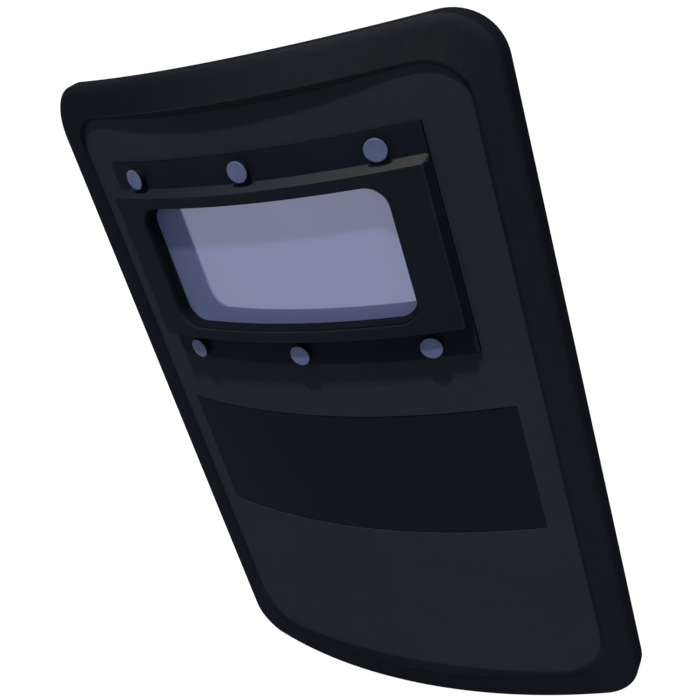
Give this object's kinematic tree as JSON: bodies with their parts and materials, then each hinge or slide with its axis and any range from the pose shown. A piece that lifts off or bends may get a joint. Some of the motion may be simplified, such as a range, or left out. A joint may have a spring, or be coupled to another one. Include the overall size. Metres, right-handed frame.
{
  "type": "riot shield",
  "caption": "Curved rectangular ballistic riot shield with a raised moulded rim, a bolted viewport of thick glass, a blank identification panel, and a grip and forearm strap behind.",
  "frame": {"origin": "on the plane the shield lies on, under the middle of its outline", "axes": "+Z out of the curved front face, +Y towards the shield's top edge, +X to the right of someone facing its front"},
  "size_m": [0.614, 0.92, 0.1075],
  "materials": {
    "shell_coating": "fine textured charcoal coating over a moulded laminate",
    "rim_rubber": "moulded rubber, satin, scuffed paler on its ridges",
    "frame_metal": "blackened, semi-matt, worn on its edges",
    "seal_rubber": "dull black",
    "viewport_glass": "clear laminated glass with a lavender blue tint",
    "panel_plastic": "flat near black, fine grain, blank",
    "bolt_steel": "blue grey passivated steel, satin",
    "grip_rubber": "ribbed black rubber",
    "strap_webbing": "woven black nylon webbing"
  },
  "bodies": {
    "root": {"arm_strap": "strap_webbing", "bolt_bottom_left": "bolt_steel", "bolt_bottom_middle": "bolt_steel", "bolt_bottom_right": "bolt_steel", "bolt_top_left": "bolt_steel", "bolt_top_middle": "bolt_steel", "bolt_top_right": "bolt_steel", "handle": "frame_metal", "handle_grip": "grip_rubber", "handle_screw_lower_left": "bolt_steel", "handle_screw_lower_right": "bolt_steel", "handle_screw_upper_left": "bolt_steel", "handle_screw_upper_right": "bolt_steel", "id_panel": "panel_plastic", "nut_bottom_left": "bolt_steel", "nut_bottom_middle": "bolt_steel", "nut_bottom_right": "bolt_steel", "nut_top_left": "bolt_steel", "nut_top_middle": "bolt_steel", "nut_top_right": "bolt_steel", "rear_frame": "frame_metal", "rim": "rim_rubber", "shell": "shell_coating", "strap_clamp_lower": "frame_metal", "strap_clamp_upper": "frame_metal", "strap_screw_lower_left": "bolt_steel", "strap_screw_lower_right": "bolt_steel", "strap_screw_upper_left": "bolt_steel", "strap_screw_upper_right": "bolt_steel", "viewport_frame": "frame_metal", "viewport_glass": "viewport_glass", "window_seal": "seal_rubber"}
  },
  "joints": []
}
